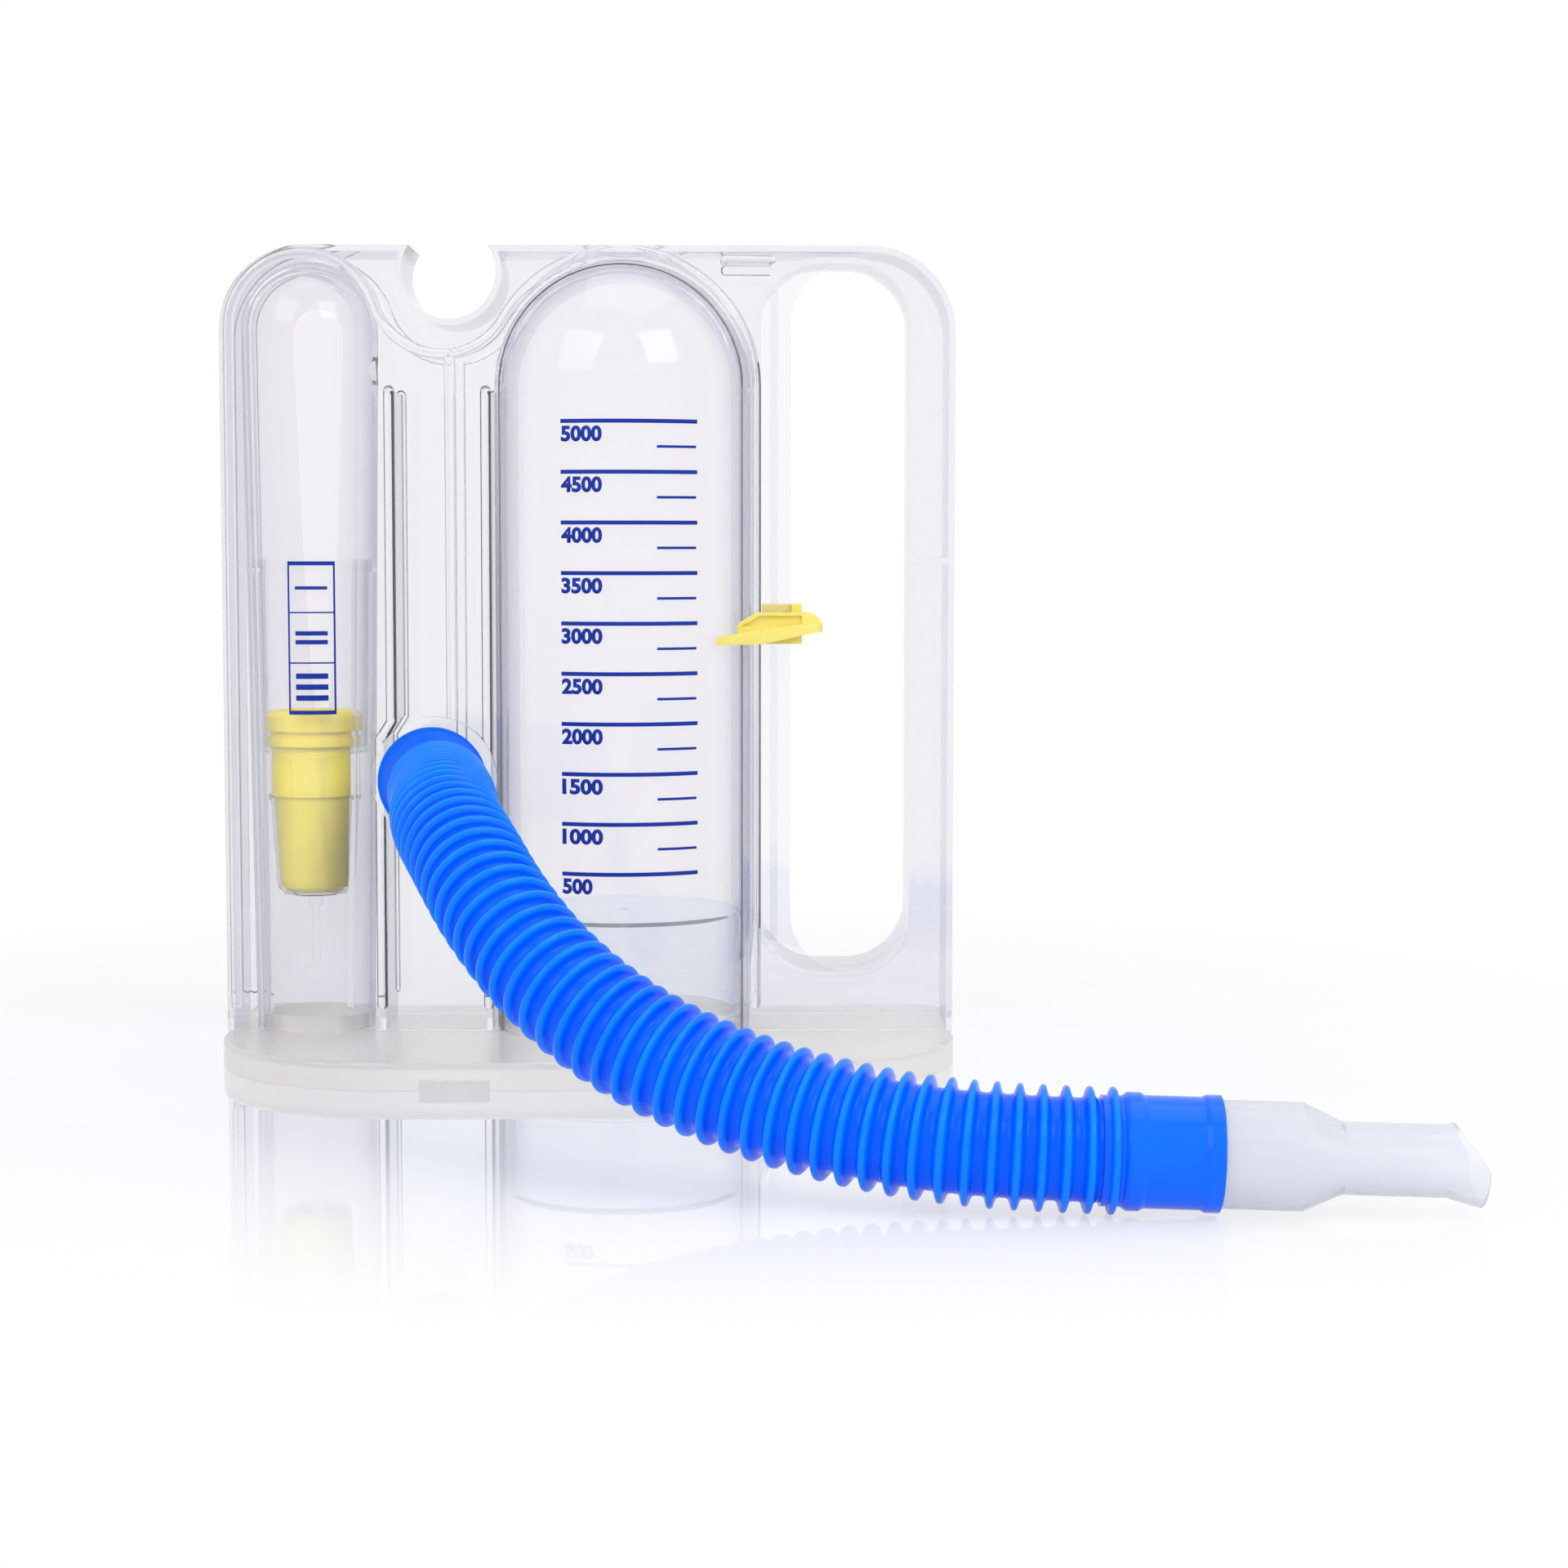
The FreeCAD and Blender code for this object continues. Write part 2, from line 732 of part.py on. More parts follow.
def make_pointer():
    """A wing that points at the scale, on a clip that grips the lip of the handle opening."""
    lip_front = front_y - seat_gap
    lip_back = front_y + panel_wall + seat_gap
    web = grip_left + seat_gap
    bead_clear = front_y - bead_radius - seat_gap
    ridge_right = grip_left - ridge_offset + ridge_height + seat_gap
    column_clear = volume_radius + 2 * seat_gap
    centre = V(volume_x, parting_y, 0)

    def beside_column(x):
        return V(x, parting_y - math.sqrt(column_clear**2 - (x - volume_x) ** 2), 0)

    start_angle = math.acos((parting_y - bead_clear) / column_clear)
    shoulder = V(volume_x + column_clear * math.sin(start_angle), bead_clear, 0)
    tip = beside_column(pointer_left)
    middle = beside_column((pointer_left + shoulder.x) / 2)
    front = bead_clear - pointer_reach
    jaw_left = grip_left - lip_width + seat_gap
    jaw_back = lip_back + pointer_jaw
    tip_front = V(pointer_left, tip.y - pointer_jaw, 0)
    tab = (pointer_right - pointer_clip_right) * 0.5
    plan = closed_wire(
        tip,
        [
            tip_front,
            V(pointer_clip_left, front, 0),
            V(pointer_right - tab, front + 0.4 * pointer_reach, 0),
            (
                V(pointer_right, front + 0.4 * pointer_reach + tab, 0),
                V(pointer_right - tab, front + 0.4 * pointer_reach + 2 * tab, 0),
            ),
            V(pointer_clip_right, jaw_back, 0),
            V(jaw_left, jaw_back, 0),
            V(jaw_left, lip_back, 0),
            V(web, lip_back, 0),
            V(web, lip_front, 0),
            V(ridge_right, lip_front, 0),
            V(ridge_right, bead_clear, 0),
            shoulder,
            (middle, tip),
        ],
    )
    whole = Part.Face(plan).extrude(V(0, 0, pointer_clip_height))
    whole.translate(V(0, 0, pointer_foot))
    right_foot = pointer_foot + pointer_rise
    wing = closed_wire(
        at(pointer_left, pointer_foot),
        [
            at(pointer_clip_left, pointer_foot),
            at(pointer_clip_right, right_foot - pointer_tip_height / 2),
            at(pointer_right, right_foot),
            at(pointer_right, right_foot + pointer_tip_height),
            at(pointer_clip_right, right_foot + pointer_tip_height),
            at(pointer_clip_left, pointer_foot + 2 * pointer_tip_height),
            at(pointer_left, pointer_foot + pointer_tip_height),
            at(pointer_left, pointer_foot),
        ],
    )
    web_front = bead_clear - pointer_jaw
    web_top = pointer_foot + pointer_web_height
    tip_top = pointer_foot + pointer_tip_height
    upright = closed_wire(
        at(pointer_left, pointer_foot),
        [
            at(pointer_clip_right, pointer_foot),
            at(pointer_clip_right, web_top),
            at(pointer_web_left, web_top),
            at(pointer_left, tip_top),
            at(pointer_left, pointer_foot),
        ],
    )
    # The thumb tab is as high as the upright at the clip and rounds down to the wing
    tab_width = pointer_right - pointer_clip_right
    tab_height = web_top - right_foot - pointer_tip_height
    tab_part = closed_wire(
        at(pointer_clip_right, right_foot),
        [
            at(pointer_clip_right, web_top),
            (
                at(pointer_clip_right + 0.7 * tab_width, web_top - 0.3 * tab_height),
                at(pointer_right, web_top - tab_height),
            ),
            at(pointer_right, right_foot),
            at(pointer_clip_right, right_foot),
        ],
    )
    # A shallow pocket leaves a rim along the upright's slope and top
    slope = (pointer_web_left - pointer_left) / (web_top - tip_top)
    pocket_foot = tip_top + 1.4 * pointer_tip_height
    pocket_top = web_top - pointer_rim
    pocket_left = pointer_left + slope * (pocket_foot - tip_top + pointer_rim) + pointer_rim
    pocket_peak = pointer_left + slope * (web_top - tip_top) + pointer_rim
    pocket = closed_wire(
        at(pocket_left, pocket_foot),
        [
            at(pocket_peak, pocket_top),
            at(pointer_clip_right, pocket_top),
            at(pointer_clip_right, pocket_foot),
            at(pocket_left, pocket_foot),
        ],
    )
    clip = box(
        V(pointer_clip_left, lip_front, pointer_foot),
        V(pointer_clip_right, jaw_back, pointer_foot + pointer_clip_height),
    )
    web = whole.common(prism(upright, web_front, jaw_back + 1))
    pieces = [
        web.cut(prism(pocket, web_front - 1, web_front + pointer_pocket_depth)),
        whole.common(prism(tab_part, web_front, jaw_back + 1)),
        whole.common(clip),
    ]
    return whole.common(prism(wing, tip_front.y - 1, jaw_back + 1)).fuse(pieces)


def hose_path(points):
    """Straight runs joined by tangent arcs, each as large as its runs allow."""
    edges = []
    here = points[0]
    for before, corner, after in zip(points, points[1:], points[2:]):
        back = before - corner
        ahead = after - corner
        setback = 0.45 * min(back.Length, ahead.Length)
        turn = math.pi - back.getAngle(ahead)
        radius = setback / math.tan(turn / 2)
        print("hose turn", round(math.degrees(turn), 1), "degrees, radius", round(radius, 1))
        start = corner + back * (setback / back.Length)
        end = corner + ahead * (setback / ahead.Length)
        inward = (back / back.Length + ahead / ahead.Length).normalize()
        middle = corner + inward * (radius / math.cos(turn / 2) - radius)
        edges.append(Part.LineSegment(here, start).toShape())
        edges.append(Part.Arc(start, middle, end).toShape())
        here = end
    edges.append(Part.LineSegment(here, points[-1]).toShape())
    return Part.Wire(edges)


def swept(path, radius, start, direction):
    circle = Part.Wire(Part.makeCircle(radius, start, direction))
    return path.makePipeShell([circle], True, True)


def make_hose():
    path = hose_path(hose_route)
    outer = swept(path, hose_radius, hose_route[0], port_axis)
    bore = swept(path, hose_bore, hose_route[0], port_axis)
    hose = outer.cut(bore)
    section = math.pi * (hose_radius**2 - hose_bore**2)
    print("hose length", round(path.Length, 1))
    print("hose volume over section times length", round(hose.Volume / section / path.Length, 4))
    return hose


def make_port_cuff():
    bore = port_tube_radius + fit_gap
    socket = port_tube_length + 2 * port_tube_wall
    profile = [
        (bore, 0),
        (port_cuff_lip_radius, 0),
        (port_cuff_lip_radius, port_cuff_lip_length),
        (port_cuff_radius, port_cuff_lip_length + cuff_step),
        (port_cuff_radius, port_cuff_length / 2),
        (hose_radius - cuff_step, port_cuff_length),
        (hose_bore, port_cuff_length),
        (hose_bore, socket),
        (bore, port_tube_length + seat_gap),
    ]
    return turned(profile, port_seat, port_axis)


def make_mouth_cuff(mouth_base, mouth_axis):
    bead_end = cuff_plain_length + cuff_bead_length
    slope = (cuff_bead_radius - cuff_plain_radius) * 1.5
    lip_start = cuff_length - cuff_lip_length
    floor = cuff_length - mouthpiece_spigot - seat_gap
    profile = [
        (hose_bore, 0),
        (cuff_plain_radius, 0),
        (cuff_plain_radius, cuff_plain_length),
        (cuff_bead_radius, cuff_plain_length + slope),
        (cuff_bead_radius, bead_end - slope),
        (cuff_radius, bead_end),
        (cuff_radius, lip_start),
        (cuff_lip_radius, lip_start + cuff_step),
        (cuff_lip_radius, cuff_length),
        (cuff_bore, cuff_length),
        (cuff_bore, floor),
        (hose_bore, floor - cuff_step),
    ]
    return turned(profile, mouth_base, mouth_axis)


def oval(half_width, half_height, distance):
    """An upright oval round the Z axis, with its height along X."""
    if abs(half_width - half_height) < 1e-6:
        return Part.Wire(Part.makeCircle(half_width, V(0, 0, distance)))
    ellipse = Part.Ellipse(V(0, half_width, distance), V(half_height, 0, distance), V(0, 0, distance))
    return Part.Wire(ellipse.toShape())


def mouthpiece_form(inset, start):
    """The round body, the shoulder, the flattened bite tube and its flared lip."""
    round_end = start + mouthpiece_body
    bite_start = round_end + mouthpiece_taper
    lip_start = bite_start + bite_length
    radius = mouthpiece_radius - inset
    width = bite_half_width - inset
    height = bite_half_height - inset
    flare = bite_flare
    end = lip_start + bite_lip_length
    body = Part.makeCylinder(radius, mouthpiece_body, V(0, 0, start))
    shoulder = Part.makeLoft([oval(radius, radius, round_end), oval(width, height, bite_start)], True, True)
    tube = Part.Face(oval(width, height, bite_start)).extrude(V(0, 0, bite_length))
    lip = Part.makeLoft(
        [oval(width, height, lip_start), oval(width + flare, height + flare, end)], True, True
    )
    return body.fuse([shoulder, tube, lip]), lip_start, end


def make_mouthpiece(mouth_base, mouth_axis):
    start = cuff_length + seat_gap
    outer, lip_start, end = mouthpiece_form(0, start)
    inner = mouthpiece_form(mouthpiece_wall, start)[0]
    spigot = Part.makeCylinder(cuff_bore - fit_gap, mouthpiece_spigot, V(0, 0, start - mouthpiece_spigot))
    spigot_bore = Part.makeCylinder(
        cuff_bore - fit_gap - mouthpiece_wall, mouthpiece_spigot + 1, V(0, 0, start - mouthpiece_spigot)
    )
    piece = outer.fuse(spigot).cut([inner, spigot_bore])
    reach = 4 * mouthpiece_radius
    slope = Part.makeBox(reach, 2 * reach, reach, V(0, -reach, 0))
    slope.rotate(V(0, 0, 0), V(0, 1, 0), bite_lip_slope)
    slope.translate(V(0, 0, end))
    piece = piece.cut(slope)
    # The piece was made along +Z with its top towards +X, and is laid along the hose's end
    side = mouth_axis.cross(UP).normalize()
    top = side.cross(mouth_axis).normalize()
    turn = FreeCAD.Rotation(top, side.negative(), mouth_axis, "ZXY")
    piece.Placement = FreeCAD.Placement(mouth_base, turn)
    return piece


def single_solid(shape, name):
    """A clean solid. A build that leaves loose pieces stops here."""
    shape = shape.removeSplitter()
    if len(shape.Solids) != 1 or not shape.Solids[0].isValid():
        raise ValueError(name + " is not one valid solid: " + str(len(shape.Solids)))
    return shape.Solids[0]


def main():
    mouth_base = hose_route[-1]
    mouth_axis = (hose_route[-1] - hose_route[-2]).normalize()
    parts = {
        "front_shell": make_shell(front_y, lip=True),
        "rear_shell": make_shell(rear_y, lip=False),
        "base_tray": make_stand(),
        "flow_sleeve": make_sleeve(),
        "flow_cup": make_cup(),
        "volume_piston": make_piston(),
        "volume_pointer": make_pointer(),
        "hose_tube": make_hose(),
        "hose_cuff_port": make_port_cuff(),
        "hose_cuff_mouth": make_mouth_cuff(mouth_base, mouth_axis),
        "mouthpiece": make_mouthpiece(mouth_base, mouth_axis),
    }
    os.makedirs("parts", exist_ok=True)
    for name, shape in parts.items():
        single_solid(shape, name).exportStep("parts/" + name + ".step")


main()
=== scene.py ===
import math

import bpy
from mathutils import Matrix, Vector


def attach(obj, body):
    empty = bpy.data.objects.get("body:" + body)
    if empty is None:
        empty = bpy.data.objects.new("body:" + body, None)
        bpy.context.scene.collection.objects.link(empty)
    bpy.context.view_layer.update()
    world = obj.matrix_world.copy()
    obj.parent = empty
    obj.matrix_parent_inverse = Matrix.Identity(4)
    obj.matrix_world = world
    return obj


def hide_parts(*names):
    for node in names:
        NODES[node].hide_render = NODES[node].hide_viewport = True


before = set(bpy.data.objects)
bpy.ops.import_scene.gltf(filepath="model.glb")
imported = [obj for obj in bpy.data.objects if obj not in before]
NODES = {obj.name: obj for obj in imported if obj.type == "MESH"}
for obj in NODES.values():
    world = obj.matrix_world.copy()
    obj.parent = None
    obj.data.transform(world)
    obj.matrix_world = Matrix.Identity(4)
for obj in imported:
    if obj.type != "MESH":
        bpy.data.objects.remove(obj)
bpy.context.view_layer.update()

bl_info = {
    "name": "Incentive spirometer",
    "version": (1, 0, 0),
    "blender": (4, 5, 0),
    "location": "View3D > Sidebar > Spirometer",
    "description": "Dresses the CAD solids of a clear incentive spirometer: hose, print and finishes",
    "category": "Object",
}

MM = 0.001

# The photograph's camera: its place in metres, how far it looks down, looks right and tilts in
# degrees, and its lens and sensor width in millimetres
CAMERA_PLACE = (0.0416, -0.8527, 0.1454)
CAMERA_PITCH = 4.624
CAMERA_YAW = 0.811
CAMERA_ROLL = 0.068
CAMERA_LENS = 71.25
CAMERA_SENSOR = 36

# The axis of the flow column and of the volume column across, the height of the dome's centre and
# the outer radius, and the place of both axes from front to back
COLUMNS = ((-77.5 * MM, 201.0 * MM, 18.85 * MM), (8.9 * MM, 185.3 * MM, 35.4 * MM))
COLUMN_Y = 15 * MM
# How deep a column's own wall and inner skin lie under its outer radius
COLUMN_WALL_DEPTH = 5 * MM
# How straight a face of the column looks from or to the axis, as a cosine
COLUMN_FACING = 0.97
# The stretch of the top rim that the volume dome runs into: half its width, and its foot
DOME_RIM_HALF_WIDTH = 14 * MM
DOME_RIM_FOOT = 213 * MM

# The hose's route, from its port cuff to its mouth cuff, in metres
HOSE_ROUTE = [
    (-0.0377, -0.0378, 0.0775),
    (-0.0333, -0.0650, 0.0770),
    (-0.0313, -0.0930, 0.0753),
    (-0.0242, -0.1182, 0.0696),
    (-0.0149, -0.1402, 0.0582),
    (-0.0010, -0.1576, 0.0445),
    (0.0183, -0.1711, 0.0320),
    (0.0421, -0.1821, 0.0230),
    (0.0682, -0.1916, 0.0173),
    (0.0945, -0.1980, 0.0146),
    (0.1185, -0.1985, 0.0139),
]
HOSE_SIDES = 48
# The points of half a rib's profile, as shares of the pitch away from its crest
RIB_STATIONS = (0.0, 0.09, 0.14, 0.175, 0.215, 0.27, 0.38)
# The higher this is, the steeper the flanks and the flatter the crest
RIB_STEEPNESS = 3.6
# Where the rib on the mouth cuff is cut off, as a share of its pitch
LAST_RIB_END = 0.7

# Flat marks start on this upright plane in front of the housing and are moved back onto its wall
PRINT_START = -45 * MM
# About how long a straight stretch of a printed line is, across the round wall and up it
PRINT_STRETCH_ACROSS = 1.2 * MM
PRINT_STRETCH_UP = 6 * MM
INK_LIFT = 0.06 * MM
INK_THICKNESS = 0.03 * MM
# How much fatter than the font the numerals are, as a share of their height
NUMERAL_BOLDNESS = 0.045

# Each lamp's name, its place in metres, its power in watts and the length of its side in metres
LAMPS = (
    ("key_light", (0.8, -0.9, 1.0), 6.25, 0.75),
    ("fill_light", (-0.8, -0.9, 0.9), 4.75, 0.85),
    ("top_light", (0.05, 0.1, 1.3), 3.2, 1.0),
)
LAMP_AIM = Vector((0.02, -0.03, 0.1))
# How strongly the white room lights the object; it looks fully white itself
ROOM_LIGHT = 0.65
# Light passes many clear walls, one behind another
LIGHT_BOUNCES = 32

# The floor is a wide square, in metres, that runs to the horizon behind the object
FLOOR_SIZE = 60
FLOOR_PLACE = (0, 20, 0)
# Between these two distances from the origin the floor's own white goes from the first share of
# what is seen to the second
FLOOR_FADE = (0.13, 0.36)
FLOOR_WHITE = (0.25, 1.0)
# The most that the floor mirrors, and the stretches from front to back, in front of the object
# and behind it, over which the mirror comes and goes
FLOOR_MIRROR = 0.85
MIRROR_FRONT = (-0.3, -0.07)
MIRROR_BACK = (0.04, 0.13)

# Edges with a sharper turn than this, in degrees, are shaded crisp
CRISP_ANGLE = 32

# The materials by the names that this script gives them, filled by mix_finishes
FINISHES = {}


# Small helpers


def linear(code):
    """An sRGB hex colour as the linear RGBA that a shader socket takes."""
    parts = [int(code[i : i + 2], 16) / 255 for i in (1, 3, 5)]
    return [v / 12.92 if v <= 0.04045 else ((v + 0.055) / 1.055) ** 2.4 for v in parts] + [1.0]


def add_node(tree, kind, values=None, links=None, **settings):
    """Adds a shader node with its settings, its input values and the links into it."""
    node = tree.nodes.new(kind)
    for name, value in settings.items():
        setattr(node, name, value)
    for name, value in (values or {}).items():
        node.inputs[name].default_value = value
    for name, source in (links or {}).items():
        tree.links.new(source, node.inputs[name])
    return node


def new_material(name):
    material = bpy.data.materials.new(name)
    material.use_nodes = True
    material.node_tree.nodes.clear()
    return material


def finish_material(material, surface):
    add_node(material.node_tree, "ShaderNodeOutputMaterial", links={"Surface": surface})
    return material


def wear(piece, material):
    """Gives a piece one material."""
    piece.data.materials.clear()
    piece.data.materials.append(material)


def deselect():
    if bpy.context.object and bpy.context.object.mode != "OBJECT":
        bpy.ops.object.mode_set(mode="OBJECT")
    bpy.ops.object.select_all(action="DESELECT")


def only(piece):
    """Selects one piece and makes it the active one."""
    deselect()
    piece.select_set(True)
    bpy.context.view_layer.objects.active = piece


def settle(piece):
    """Moves a piece's place, turn and scale into its mesh."""
    only(piece)
    bpy.ops.object.transform_apply(location=True, rotation=True, scale=True)


def apply_modifier(piece, kind, name, **settings):
    only(piece)
    modifier = piece.modifiers.new(name, kind)
    for key, value in settings.items():
        setattr(modifier, key, value)
    bpy.ops.object.modifier_apply(modifier=name)


def join(pieces, name):
    deselect()
    for piece in pieces:
        piece.select_set(True)
    bpy.context.view_layer.objects.active = pieces[0]
    bpy.ops.object.join()
    pieces[0].name = name
    return pieces[0]


def centreline(curve):
    """The points that a curve with no bevel follows, in order."""
    line = bpy.data.meshes.new_from_object(curve)
    points = [v.co.copy() for v in line.vertices]
    bpy.data.meshes.remove(line)
    return points


# Materials


def let_lamps_through(tree, shader, passed):
    """Lets the lamps' light through a clear or cloudy wall to what lies behind it."""
    lamp_light = add_node(tree, "ShaderNodeBsdfTransparent", {"Color": linear(passed)})
    path = add_node(tree, "ShaderNodeLightPath")
    mixed = add_node(
        tree,
        "ShaderNodeMixShader",
        links={"Fac": path.outputs["Is Shadow Ray"], 1: shader, 2: lamp_light.outputs["BSDF"]},
    )
    return mixed.outputs["Shader"]


def clear_polystyrene(name, tint, edge_shade, haze, bending):
    """Injection-moulded crystal polystyrene: clear and glossy, with painted shade: its colour turns greyer
    where the wall is seen edge on, for the darker flanks and edges."""
    material = new_material(name)
    tree = material.node_tree
    place = add_node(tree, "ShaderNodeTexCoord").outputs["Object"]
    # Moulding waviness, about 25 mm from crest to crest
    waves = add_node(tree, "ShaderNodeTexNoise", {"Scale": 40.0, "Detail": 1.0}, {"Vector": place})
    bump = add_node(
        tree, "ShaderNodeBump", {"Strength": 0.03, "Distance": 0.0006}, {"Height": waves.outputs["Fac"]}
    )
    # Painted shade: the greyer edge tint comes in as the wall turns away, 0 is square on and 1 is edge on
    facing = add_node(tree, "ShaderNodeLayerWeight", {"Blend": 0.5}).outputs["Facing"]
    edge_shade_share = add_node(
        tree, "ShaderNodeMapRange", {"From Min": 0.35, "From Max": 0.85}, {"Value": facing}
    ).outputs[0]
    # The wall's colour with the painted edge shade mixed in
    depth = add_node(tree, "ShaderNodeMix", links={"Factor": edge_shade_share}, data_type="RGBA")
    depth.inputs[6].default_value = linear(tint)
    depth.inputs[7].default_value = linear(edge_shade)
    gloss = add_node(
        tree,
        "ShaderNodeBsdfPrincipled",
        {
            "Roughness": 0.04,
            "IOR": bending,
            "Transmission Weight": 1.0 - haze,
            "Coat Weight": 0.3,
            "Coat Roughness": 0.05,
        },
        {"Base Color": depth.outputs[2], "Normal": bump.outputs["Normal"]},
    )
    return finish_material(material, let_lamps_through(tree, gloss.outputs["BSDF"], "#FCFCFD"))


def milky_polypropylene(name, tint, clearness, bending, passed):
    """Unpigmented polypropylene: cloudy white, lets light through, with a satin skin."""
    material = new_material(name)
    tree = material.node_tree
    place = add_node(tree, "ShaderNodeTexCoord").outputs["Object"]
    # Spark-eroded mould skin, about 0.8 mm from grain to grain
    grain = add_node(tree, "ShaderNodeTexNoise", {"Scale": 1200.0, "Detail": 2.0}, {"Vector": place})
    bump = add_node(
        tree, "ShaderNodeBump", {"Strength": 0.05, "Distance": 0.0002}, {"Height": grain.outputs["Fac"]}
    )
    skin = add_node(
        tree,
        "ShaderNodeBsdfPrincipled",
        {
            "Base Color": linear(tint),
            "Roughness": 0.2,
            "IOR": bending,
            "Transmission Weight": clearness,
        },
        {"Normal": bump.outputs["Normal"]},
    )
    return finish_material(material, let_lamps_through(tree, skin.outputs["BSDF"], passed))


def tinted_plastic(name, tint, deep, roughness, shine, glow, grain_mm):
    """Pigmented moulded plastic: an even colour that deepens a little in broad cloudy areas,
    with a fine satin skin and, where it glows, some light scattered under it."""
    material = new_material(name)
    tree = material.node_tree
    place = add_node(tree, "ShaderNodeTexCoord").outputs["Object"]
    # Clouds of colour, about 17 mm across
    clouds = add_node(tree, "ShaderNodeTexNoise", {"Scale": 60.0, "Detail": 2.0}, {"Vector": place})
    tone = add_node(tree, "ShaderNodeValToRGB", links={"Fac": clouds.outputs["Fac"]})
    for stop, share, colour in zip(tone.color_ramp.elements, (0.35, 0.65), (deep, tint)):
        stop.position = share
        stop.color = linear(colour)
    grain = add_node(
        tree, "ShaderNodeTexNoise", {"Scale": 1000.0 / grain_mm, "Detail": 2.0}, {"Vector": place}
    )
    bump = add_node(
        tree, "ShaderNodeBump", {"Strength": 0.06, "Distance": 0.0002}, {"Height": grain.outputs["Fac"]}
    )
    skin = add_node(
        tree,
        "ShaderNodeBsdfPrincipled",
        {
            "Roughness": roughness,
            "IOR": 1.5,
            "Specular IOR Level": shine,
            "Subsurface Weight": glow,
            "Subsurface Radius": (0.003, 0.003, 0.003),
            "Subsurface Scale": 1.0,
        },
        {"Base Color": tone.outputs["Color"], "Normal": bump.outputs["Normal"]},
    )
    return finish_material(material, skin.outputs["BSDF"])


def mix_finishes():
    """Makes each plastic and the ink once."""
    # The clear walls. A thin real wall shows what is behind it in its true place, so the round
    # ones bend light less here than the flat ones.
    # Each clear wall's second colour is the painted shade of its flanks and edges
    FINISHES["housing"] = clear_polystyrene(
        "clear_polystyrene", "#F8F8FA", "#A4A8BC", haze=0.03, bending=1.4
    )
    FINISHES["column"] = clear_polystyrene(
        "clear_column_polystyrene", "#F8F7F9", "#CFD1E0", haze=0.06, bending=1.12
    )
    FINISHES["sleeve"] = clear_polystyrene(
        "clear_sleeve_polystyrene", "#FFFFFF", "#D8DAE6", haze=0.02, bending=1.08
    )
    FINISHES["piston"] = clear_polystyrene(
        "clear_piston_polystyrene", "#F9FCFF", "#F2F7FF", haze=0.08, bending=1.05
    )
    # The cloudy stand and the clearer mouthpiece, which casts a deeper shadow into itself
    FINISHES["stand"] = milky_polypropylene(
        "cloudy_stand_plastic", "#F9F7F3", clearness=0.6, bending=1.4, passed="#F0F0F0"
    )
    FINISHES["mouthpiece"] = milky_polypropylene(
        "cloudy_mouthpiece_plastic", "#F2F3F9", clearness=0.75, bending=1.2, passed="#B0B0B0"
    )
    # The thin yellow cup and the paler pointer, which both scatter some light inside
    FINISHES["float"] = tinted_plastic(
        "yellow_float_plastic", "#FFEE48", "#FAE63E", roughness=0.3, shine=0.4, glow=0.25, grain_mm=0.6
    )
    FINISHES["pointer"] = tinted_plastic(
        "yellow_pointer_plastic", "#F8E87E", "#F3DF6A", roughness=0.35, shine=0.4, glow=0.3, grain_mm=0.6
    )
    # Blow-moulded polyethylene, strong blue with a satin skin, matt on the port cuff and glossy on the
    # mouth cuff. The crowns of the ribs are painted a paler blue, painted light for what they catch above
    # the shaded valleys.
    FINISHES["hose"] = tinted_plastic(
        "blue_polyethylene", "#006CFF", "#0064FA", roughness=0.2, shine=0.1, glow=0.0, grain_mm=0.8
    )
    FINISHES["rib"] = tinted_plastic(
        "blue_polyethylene_painted_crown_light", "#0084FF", "#007CFC", roughness=0.2, shine=0.14, glow=0.0, grain_mm=0.8
    )
    FINISHES["port cuff"] = tinted_plastic(
        "blue_matt_polyethylene", "#006CFF", "#0066FC", roughness=0.6, shine=0.06, glow=0.0, grain_mm=0.8
    )
    FINISHES["mouth cuff"] = tinted_plastic(
        "blue_gloss_polyethylene", "#006EFF", "#0068FC", roughness=0.12, shine=0.16, glow=0.0, grain_mm=0.8
    )
    # The dark blue ink of the scale and the flow-rate box
    FINISHES["ink"] = tinted_plastic(
        "blue_print_ink", "#15339E", "#123096", roughness=0.45, shine=0.2, glow=0.0, grain_mm=0.4
    )


# Sizes that a user would change


class HoseSizes(bpy.types.PropertyGroup):
    rib_pitch: bpy.props.FloatProperty(
        name="Rib pitch", description="From one rib of the hose to the next", default=5.05 * MM,
        subtype="DISTANCE", unit="LENGTH",
    )
    rib_radius: bpy.props.FloatProperty(
        name="Rib radius", description="Radius over the ribs", default=13.65 * MM,
        subtype="DISTANCE", unit="LENGTH",
    )
    valley_radius: bpy.props.FloatProperty(
        name="Valley radius", description="Radius between the ribs", default=11.1 * MM,
        subtype="DISTANCE", unit="LENGTH",
    )
    rib_share: bpy.props.FloatProperty(
        name="Rib share", description="Share of the pitch that a rib takes", default=0.38,
        subtype="FACTOR",
    )
    wall: bpy.props.FloatProperty(
        name="Wall", description="Thickness of the hose's wall", default=0.6 * MM,
        subtype="DISTANCE", unit="LENGTH",
    )


class PrintSizes(bpy.types.PropertyGroup):
    lowest: bpy.props.FloatProperty(
        name="Lowest line", description="Height of the line of the smallest reading",
        default=53.5 * MM, subtype="DISTANCE", unit="LENGTH",
    )
    step: bpy.props.FloatProperty(
        name="Step", description="From one long line of the scale to the next", default=13.52 * MM,
        subtype="DISTANCE", unit="LENGTH",
    )
    numeral_height: bpy.props.FloatProperty(
        name="Numeral height", description="Height of the numerals", default=4.3 * MM,
        subtype="DISTANCE", unit="LENGTH",
    )


# The camera


